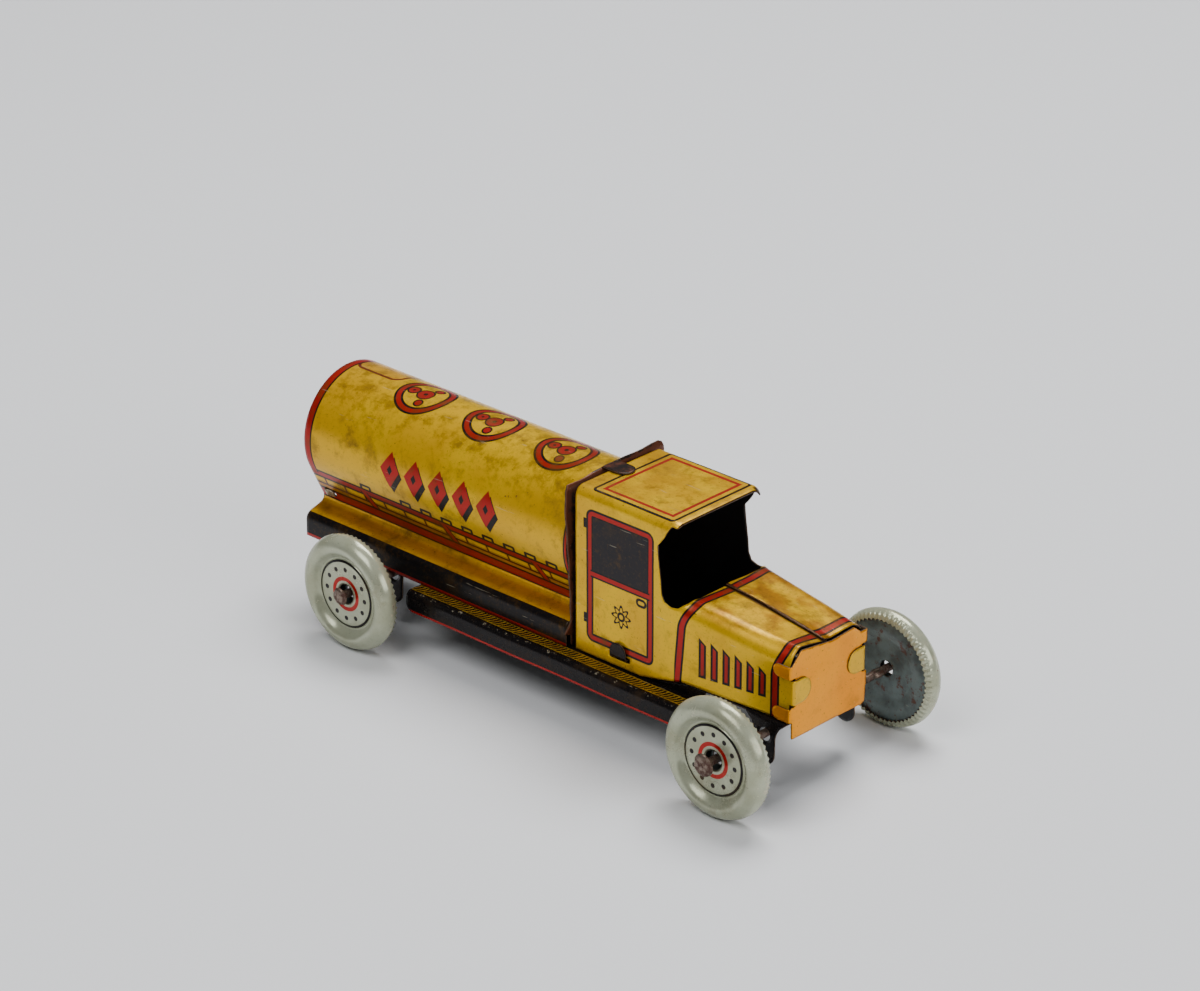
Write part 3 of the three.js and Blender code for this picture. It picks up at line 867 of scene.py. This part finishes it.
def paintDoor(coat, u, z):
    # frame, dark window, red sill, handle and two hinges
    sill = cabArt["sill"]
    door = boxAt(u, z, cabArt["doorU"], cabArt["doorZ"], cabArt["doorHalfU"], cabArt["doorHalfZ"],
                 cabArt["doorCorner"])
    coat.redLine(door + 0.75, 0.98, 0.45)
    coat.lay("charcoal", inside(door + 1.5) * z.step(sill + 0.55, sill + 0.75))
    within = inside(door + 0.9)
    coat.lay("black", band(z, sill - 0.85, sill + 0.85) * within)
    coat.lay("red", band(z, sill - 0.45, sill + 0.45) * within)
    handle = boxAt(u, z, *cabArt["handle"], 1.15, 0.7, 0.68)
    coat.lay("black", outlineOf(handle, 0.3))
    for at in cabArt["hinges"]:
        coat.lay("black", inside(boxAt(u, z, cabArt["hingeU"], at, 0.5, 1.1)))


def paintRosette(coat, u, z):
    # petals round a ring
    du, dz = u - cabArt["rosette"][0], z - cabArt["rosette"][1]
    r = length(du, dz)
    angle = dz.math("ARCTAN2", du)
    petal = r - 1.9 - (angle * cabArt["petals"]).math("COSINE") * 0.5
    coat.lay("black", outlineOf(petal, 0.32))
    coat.lay("black", outlineOf(r - 0.8, 0.28))


def paintStripes(coat, u, z):
    # round the cowl and behind the nose
    cowl = u - cabArt["cowlU"] - (z - 22.0) * 0.085 - z.step(29.0, 35.0) * 1.7
    behindNose = u - cabArt["noseU"] - z.step(26.0, 32.0) * 1.5
    ahead = u.step(35.0, 35.2)
    for stripe in (cowl, behindNose):
        coat.redLine(stripe, 1.1, 0.58, ahead)


def paintLouvres(coat, u, z):
    # slanted slats that grow shorter towards the nose
    slat = wave(u, cabArt["slatPitch"], cabArt["slatFirst"])
    travel = (u - cabArt["slatFirst"]) * (1 / cabArt["slatRun"])
    high = z - 28.4 + travel * 1.5 + (slat + 1.1) * 0.62
    low = 19.5 + travel * 0.9 - z
    louvre = (slat.abs() - 0.95).most(high).most(low).most((u - 49.7).abs() - 8.7)
    coat.lay("black", inside(louvre))
    coat.lay("red", inside(louvre + 0.58))


def paintSeamShadeAndRoofLip(coat, u, v, m):
    # painted shade along the hood seam: on the right flap where it dips under the left one, and on the left
    # flap's edge, where it also stands for the dark raw edge; then the front lip of the roof, darkened to
    # dark brown
    fromSeam = m - seamAt - (u - cab["cowlX"]) * seamSlope
    onHood, left = u.step(37.2, 37.8), v.step(-0.5, 0.5)
    # right flap by the seam: painted shade under the overlapping left flap
    seam = (1.0 - fromSeam.step(1.3, 2.1)) * (1.0 - left) * onHood
    # left flap's edge: dark raw edge with painted shade
    flap = (1.0 - (fromSeam + 1.2).step(0.35, 0.75)) * left * onHood
    for seamShadeAndEdge in (seam, flap):
        coat.lay((58, 32, 14), seamShadeAndEdge)
    curl = u.step(33.9, 34.5) * v.step(10.6, 11.4)
    lip = u.step(34.95, 35.2).most(curl) * (1.0 - m.step(14.0, 14.2)) * (1.0 - u.step(35.6, 35.7))
    coat.lay((58, 36, 20), lip)


def cabPrint():
    # z is the height on a side of the cab; past the folds it goes on counting up across roof and hood
    coat = Coat("cab_print", "yellow")
    u, v = coat.blank()
    m = v.abs()
    z = cab["zero"] - m
    hood = u.step(37.0, 39.0) * (1.0 - m.step(29.0, 33.0))
    roof = 1.0 - m.step(9.0, 14.0)
    coat.lay((204, 152, 20), coat.noise(0.07, 3).step(0.35, 0.65) * 0.6)
    brown = coat.noise(0.12, 5, 0.6, offset=(4, 6, 2)).step(0.38, 0.6)
    coat.lay((158, 98, 2), hood.most(roof * 0.5) * brown * 0.85)
    paintRoof(coat, u, v)
    paintDoor(coat, u, z)
    paintRosette(coat, u, z)
    paintStripes(coat, u, z)
    paintLouvres(coat, u, z)
    paintSeamShadeAndRoofLip(coat, u, v, m)
    fold = (1.0 - (m - 13.2).abs().step(0.5, 1.6)) * (1.0 - u.step(35.0, 35.5))
    return coat.finish(mottle=0.7, grime=0.3, roughness=0.28, scar=fold * 0.09,
                       soil=hood * 1.1 + roof * 0.6)


def makeCab():
    sheetPiece("cab_skin", ("cab_print", "cab_body"), cabDistance, foldCab, (7, 72), (-51, 51),
               cab["step"], (cabPrint(), blackInsideFinish))


makeCab()
print("cab made")

# nose plate with tabs folded back along the hood
nose = {
    "x": 64.6, "fold": 11.45, "radius": 0.45, "reach": 3.3, "step": 0.4,
    # height and half width of the tabs on each side; the hood's own tab lies in the notch between them
    "tabs": ((28.0, 1.4), (18.5, 1.5)), "notchY": 10.2, "notchGap": 0.4,
}
noseOutline = [(-11.1, 13.2), (10.3, 12.9), (11.2, 13.4), (11.45, 19.7), (11.4, 28.0), (7.6, 31.2),
               (0.6, 30.9), (-8.5, 32.1), (-11.4, 29.2)]


def noseDistance(y, z):
    plate = polygonDistance(noseOutline, y, z)
    notch = np.abs(z - cab["tabZ"]) - cab["tabHalf"] - nose["notchGap"]
    notch = np.maximum(notch, nose["notchY"] - np.abs(y))
    plate = np.maximum(plate, -notch)
    for at, half in nose["tabs"]:
        over = np.clip(np.abs(y) - nose["fold"] - nose["reach"], 0, None)
        tab = np.maximum(np.hypot(over, z - at) - half, 9.5 - np.abs(y))
        plate = np.minimum(plate, tab)
    return plate


def foldNose(y, z):
    side = np.where(y < 0, -1.0, 1.0)
    along, across = bend(np.clip(np.abs(y) - nose["fold"], 0, None), nose["radius"])
    flat = side * (np.minimum(np.abs(y), nose["fold"]) + along)
    swell = 0.10 * np.sin(y * 0.33 + 1.0) * np.sin(z * 0.28)
    x = nose["x"] - across + np.where(np.abs(y) < nose["fold"], swell, 0)
    return np.stack([x, flat, z], 1)


def nosePaint():
    coat = Coat("nose_paint", (236, 150, 0))
    tone = coat.noise(0.08, 3, 0.5).step(0.35, 0.65)
    coat.lay((224, 134, 0), tone * 0.7)
    return coat.finish(mottle=0.35, grime=0.2, roughness=0.28, metallic=0.65, gloss=0.15)


def makeNose():
    sheetPiece("nose_skin", ("nose_paint", "nose_plate"), noseDistance, foldNose, (-17, 17), (12, 33.5),
               nose["step"], (nosePaint(), blackInsideFinish))


makeNose()
print("nose made")

# chassis: deck with axle lugs, running boards, side tabs
chassis = {
    "rear": -69.0, "front": 63.8, "low": 14.1, "high": 16.6, "half": 12.3, "radius": 0.5,
    "boardRear": -36.8, "boardFront": 43.0, "boardHalf": 18.3, "skirt": 9.9, "lugFoot": 6.3,
    "lugHalf": 2.7, "lugRoot": 5.2, "axles": (58.6, -46.6), "axleZ": 13.0, "hole": 1.5, "step": 0.5,
    "boardInner": 11.8, "boardCorner": 2.0, "boardRadius": 1.5,
    "tabX": 20.1, "tabHalf": 2.2, "tabFold": 13.5, "tabReach": 15.0, "tabZ": 16.45,
}
# far edge of a running board's blank: out across the tread, round the fold and down the skirt
boardLow = chassis["boardHalf"] + chassis["low"] - chassis["skirt"] - 0.4
# height of the deck along the truck, and the outline of the upright sheet that closes its front step
deckProfile = ([-69, -41, -38, 27, 38, 64], [16.6, 16.6, 14.1, 14.1, 16.6, 16.6])
deckRiser = [(27, 13.8), (42.8, 13.8), (42.8, 16.5), (38, 16.5)]


def deckDistance(x, v):
    m = np.abs(v)
    middle = (chassis["rear"] + chassis["front"]) / 2
    halfX = (chassis["front"] - chassis["rear"]) / 2
    flat = np.maximum(np.abs(x - middle) - halfX, m - chassis["half"] + 0.2)
    z = chassis["high"] - (m - chassis["half"])
    for axle in chassis["axles"]:
        # half width: wide root easing into a straight shank with a round foot
        rise = np.clip((z - 12.6) / (chassis["high"] - 12.6), 0, 1)
        width = chassis["lugHalf"] + (chassis["lugRoot"] - chassis["lugHalf"]) * rise ** 2
        foot = np.clip(chassis["lugFoot"] + chassis["lugHalf"] - z, 0, None)
        lug = np.maximum(np.hypot(x - axle, foot) - width, 11.0 - m)
        lug = np.maximum(lug, chassis["hole"] - np.hypot(x - axle, z - chassis["axleZ"]))
        flat = np.minimum(flat, lug)
    return flat


def foldDeck(x, v):
    side = np.where(v < 0, -1.0, 1.0)
    foldAt = chassis["half"] - chassis["radius"]
    along, across = bend(np.clip(np.abs(v) - foldAt, 0, None), chassis["radius"])
    y = side * (np.minimum(np.abs(v), foldAt) + along)
    flare = np.clip(across - 2, 0, None) * 0.035
    z = np.interp(x, *deckProfile) - across
    return np.stack([x, y + side * flare, z], 1)


def boardDistance(x, v):
    # v runs out across the tread, then down the skirt
    inner, corner = chassis["boardInner"], chassis["boardCorner"]
    middle = (chassis["boardRear"] + chassis["boardFront"]) / 2
    halfX = (chassis["boardFront"] - chassis["boardRear"]) / 2
    du = np.abs(x - middle) - halfX + corner
    dv = np.abs(v - (boardLow + inner) / 2) - (boardLow - inner) / 2 + corner
    beyond = np.hypot(np.clip(du, 0, None), np.clip(dv, 0, None))
    return beyond + np.minimum(np.maximum(du, dv), 0) - corner


def foldBoard(side):
    def fold(x, v):
        radius = chassis["boardRadius"]
        foldAt = chassis["boardHalf"] - radius
        along, across = bend(np.clip(v - foldAt, 0, None), radius)
        y = side * (np.minimum(v, foldAt) + along)
        z = chassis["low"] - across + 0.05 * np.sin(x * 0.21)
        return np.stack([x, y, z], 1)
    return fold


def chassisPrint():
    coat = Coat("chassis_print", "black")
    coat.lay((44, 36, 32), coat.noise(0.3, 4, 0.6).step(0.45, 0.7) * 0.6)
    return coat.finish(mottle=0.15, grime=0.08, specks=0.1, roughness=0.24, wear=0.16, rubbed=0.5)


def boardPrint():
    coat = Coat("board_print", "black")
    u, v = coat.blank()
    tread = band(v, 13.9, 16.75)
    ground = mix((186, 146, 30), (128, 92, 24), coat.noise(0.5, 4).step(0.4, 0.6) * 0.6)
    coat.lay(ground, tread)
    sweep = (v - 15.3) * 0.42 + (v - 15.3) * (v - 15.3) * 0.14
    stroke = wave(u + sweep, 1.02).abs() - 0.27
    coat.lay("black", inside(stroke) * band(v, 14.2, 16.5))
    coat.lay("red", band(v, boardLow - 0.5, boardLow + 1.0))
    rub = 1.0 - (v - 17.6).abs().step(0.2, 1.2)
    return coat.finish(mottle=0.2, grime=0.12, specks=0.2, roughness=0.25, wear=rub * 0.36, rubbed=0.6)


def makeChassis():
    dark, tread = chassisPrint(), boardPrint()
    reach = chassis["half"] + chassis["high"] - chassis["lugFoot"] + 1
    sheetPiece("deck_skin", ("chassis_print", "chassis"), deckDistance, foldDeck,
               (chassis["rear"] - 1, chassis["front"] + 1), (-reach, reach), chassis["step"],
               (dark, blackInsideFinish))
    for name, side in (("left", 1), ("right", -1)):
        sheetPiece("running_board_" + name, ("chassis_print",), boardDistance, foldBoard(side),
                   (chassis["boardRear"] - 1, chassis["boardFront"] + 1), (11, 24), 0.4,
                   (tread, blackInsideFinish), flip=side < 0)

        def riserDistance(x, z):
            return polygonDistance(deckRiser, x, z)

        def foldRiser(x, z):
            return np.stack([x, np.full_like(x, side * (chassis["half"] - 0.02)), z], 1)

        sheetPiece("deck_riser_" + name, ("chassis_print",), riserDistance, foldRiser, (26, 44), (13, 18),
                   0.4, (dark, blackInsideFinish), flip=side > 0)

        def tabDistance(x, v):
            over = np.clip(v - chassis["tabReach"], 0, None)
            return np.maximum(np.hypot(over, x - chassis["tabX"]) - chassis["tabHalf"], chassis["half"] - v)

        def foldTab(x, v):
            along, across = bend(np.clip(v - chassis["tabFold"], 0, None), 0.35)
            y = side * (np.minimum(v, chassis["tabFold"]) + along)
            return np.stack([x, y, chassis["tabZ"] + across], 1)

        sheetPiece("side_tab_" + name, ("chassis_print",), tabDistance, foldTab, (17, 23), (12, 18.5), 0.3,
                   (dark, dark), flip=side > 0)


makeChassis()
print("chassis made")


# turned pieces: a profile of (radius, y) points swung round an axle
def revolve(name, profile, centre, side, count, ripple=None):
    # y is measured outward from the centre; ends that lie on the axis become single points
    angle = np.linspace(0, 2 * math.pi, count, endpoint=False)
    radius = np.array([p[0] for p in profile])
    out = np.array([p[1] for p in profile])
    r = np.repeat(radius[:, None], count, 1)
    if ripple is not None:
        r = ripple(r, out[:, None], angle[None, :])
    local = np.stack([r * np.cos(angle), np.repeat(out[:, None], count, 1), r * np.sin(angle)], -1)
    index = np.arange(len(profile) * count).reshape(len(profile), count)
    first, last = radius[0] < 1e-6, radius[-1] < 1e-6
    if first:
        index[0, :] = index[0, 0]
    if last:
        index[-1, :] = index[-1, 0]
    turned = np.roll(index, -1, 1)
    faces = []
    for i in range(len(profile) - 1):
        for a, b, c, d in zip(index[i], index[i + 1], turned[i + 1], turned[i]):
            face = list(dict.fromkeys((a, b, c, d)))
            faces.append(face if side < 0 else face[::-1])
    used = np.unique(np.concatenate([np.array(f) for f in faces]))
    renumber = np.zeros(index.max() + 1, int)
    renumber[used] = np.arange(len(used))
    flat = local.reshape(-1, 3)[used]
    blank = np.stack([flat[:, 0], flat[:, 2], flat[:, 1]], 1)
    points = np.stack([flat[:, 0], flat[:, 1] * side, flat[:, 2]], 1) + np.array(centre)
    return meshObject(name, points, [[renumber[k] for k in f] for f in faces], blank)


def smoothLine(points, count):
    # Catmull-Rom curve through the points
    p = np.array(points, float)
    p = np.concatenate([[2 * p[0] - p[1]], p, [2 * p[-1] - p[-2]]])
    out = []
    for i in range(1, len(p) - 2):
        t = np.linspace(0, 1, count, endpoint=False)[:, None]
        a, b, c, d = p[i - 1], p[i], p[i + 1], p[i + 2]
        out.append(0.5 * (2 * b + (c - a) * t + (2 * a - 5 * b + 4 * c - d) * t ** 2
                          + (3 * b - a - 3 * c + d) * t ** 3))
    return [tuple(q) for q in np.concatenate(out)] + [tuple(points[-1])]


# wheels
wheel = {
    "radius": 12.97, "axisZ": 13.0, "hole": 2.1, "disc": 7.5, "face": 1.3, "crest": 10.5, "teeth": 62,
    "sheet": 0.28,
}
axles = {
    "front": {"x": 58.6, "wheelY": 26.4, "half": 31.2, "head": 2.5, "wire": 0.9},
    "rear": {"x": -46.6, "wheelY": 25.2, "half": 28.8, "head": 2.0, "wire": 0.9},
}


def wheelPrint():
    coat = Coat("wheel_print", (174, 178, 154))
    a, b = coat.blank()
    r = length(a, b)
    tone = coat.noise(0.12, 4, 0.55).step(0.4, 0.65)
    coat.lay((148, 150, 122), tone * 0.6)
    coat.lay("black", outlineOf(r - 7.45, 0.27))
    twelfth = math.pi / 6
    turn = wave(b.math("ARCTAN2", a), twelfth)
    dots = length(r - 5.65, turn * 5.65) - 0.54
    coat.lay("black", inside(dots))
    coat.lay("red", outlineOf(r - 3.45, 0.46))
    coat.lay((70, 62, 50), inside(r - 2.5) * 0.7)
    lip = r.step(12.5, 12.95)
    return coat.finish(mottle=0.3, grime=0.16, specks=0.35, roughness=0.2, wear=lip * 0.35 + 0.05,
                       rubbed=0.6, scar=lip * 0.05)


def wheelBack():
    coat = Coat("wheel_back_paint", (108, 120, 118))
    tone = coat.noise(0.2, 4, 0.55).step(0.4, 0.65)
    coat.lay((86, 94, 92), tone)
    rust = coat.noise(0.5, 6, 0.7, offset=(9, 2, 6)).step(0.56, 0.64)
    coat.lay("rust", rust * 0.8)
    return coat.finish(mottle=0.2, grime=0.2, roughness=0.32)


def makeWheels():
    front, back = wheelPrint(), wheelBack()
    face, disc, radius = wheel["face"], wheel["disc"], wheel["radius"]
    tyre = smoothLine([(disc + 0.1, face - 0.02), (disc + 0.5, face - 0.32), (disc + 1.1, face + 0.1),
                       (wheel["crest"] - 0.9, 2.35), (wheel["crest"] + 0.3, 2.62), (radius - 0.75, 1.75),
                       (radius, 0.1), (radius - 0.3, -1.15), (radius - 0.75, -1.75),
                       (radius - 1.7, -2.15)], 6)
    profile = [(wheel["hole"], face - 0.1), (2.5, face), (3.6, face), (5.0, face), (6.4, face)] + tyre
    inner = smoothLine([(1.7, -0.9), (4.0, -0.92), (6.4, -0.95), (7.4, -1.15), (9.0, -1.55),
                        (10.4, -1.62), (11.6, -1.6)], 5)

    def teeth(r, y, angle):
        # saw edge of the rim where it is turned over, fading out towards the tread
        depth = np.clip((-1.0 - y) / 0.6, 0, 1)
        saw = np.abs(((angle * wheel["teeth"] / (2 * math.pi)) % 1) - 0.5) * 2
        return r + depth * (saw - 0.6) * 0.5

    for end, axle in axles.items():
        for hand, side in (("left", 1), ("right", -1)):
            name = f"wheel_{end}_{hand}"
            centre = (axle["x"], side * axle["wheelY"], wheel["axisZ"])
            outer = revolve(name + "_disc", profile, centre, side, 248, teeth)
            thicken(outer, wheel["sheet"], [front, back, rawEdgeFinish])
            place(outer, name, "wheel_print", name + "_outer")
            dish = revolve(name + "_dish", inner[::-1], centre, side, 96)
            thicken(dish, wheel["sheet"], [back, back, rawEdgeFinish])
            place(dish, name, "wheel_back_paint", name + "_inner")


makeWheels()
print("wheels made")


# axles: drawn wire with hammered heads, nipped flat inboard of each wheel
def axleSteel():
    coat = Coat("axle_steel", (128, 112, 100))
    rust = coat.noise(0.7, 6, 0.7).step(0.42, 0.62)
    coat.lay((74, 46, 36), rust)
    return coat.surface(0.34 + rust * 0.35, 0.9 - rust * 0.6, rust * 0.5 + coat.noise(1.1, 3), 0.5, 0.0002)


def makeAxles():
    steel = axleSteel()
    for end, axle in axles.items():
        half, head, wire = axle["half"], axle["head"], axle["wire"]
        nip = axle["wheelY"] - 3.9
        cap = [(0.0, half), (head * 0.35, half - 0.02), (head * 0.62, half - 0.12),
               (head * 0.85, half - 0.28), (head * 0.97, half - 0.5), (head, half - 0.7),
               (head * 0.9, half - 0.88), (wire, half - 1.0)]
        shank = [(wire, y) for y in np.linspace(half - 1.2, nip + 1.4, 5)]
        shank += [(wire, nip + k) for k in np.linspace(1.2, -1.2, 13)]
        shank += [(wire, y) for y in np.linspace(nip - 1.5, 0.6, 12)]
        right = cap + shank
        profile = right + [(r, -y) for r, y in right[::-1]]

        def hammered(r, y, angle):
            # lopsided head, and the nips: squeezed one way, spread the other
            lump = 1 + 0.05 * np.cos(angle * 3 + 0.6) + 0.04 * np.cos(angle * 5 + y)
            squeeze = np.clip(1 - np.abs(np.abs(y) - nip) / 1.1, 0, 1) ** 0.5
            flat = 1 + squeeze * (0.55 * np.cos(angle) ** 2 - 0.45 * np.sin(angle) ** 2)
            return r * np.where(np.abs(y) > half - 1.05, np.minimum(lump, 1.0), flat)

        rod = revolve(end + "_axle_rod", profile, (axle["x"], 0, wheel["axisZ"]), 1, 48, hammered)
        rod.data.materials.append(steel)
        place(rod, end + "_axle", "axle_steel", end + "_axle")


makeAxles()
print("axles made")

makeCamera()
makeStage()
print("camera and stage made")
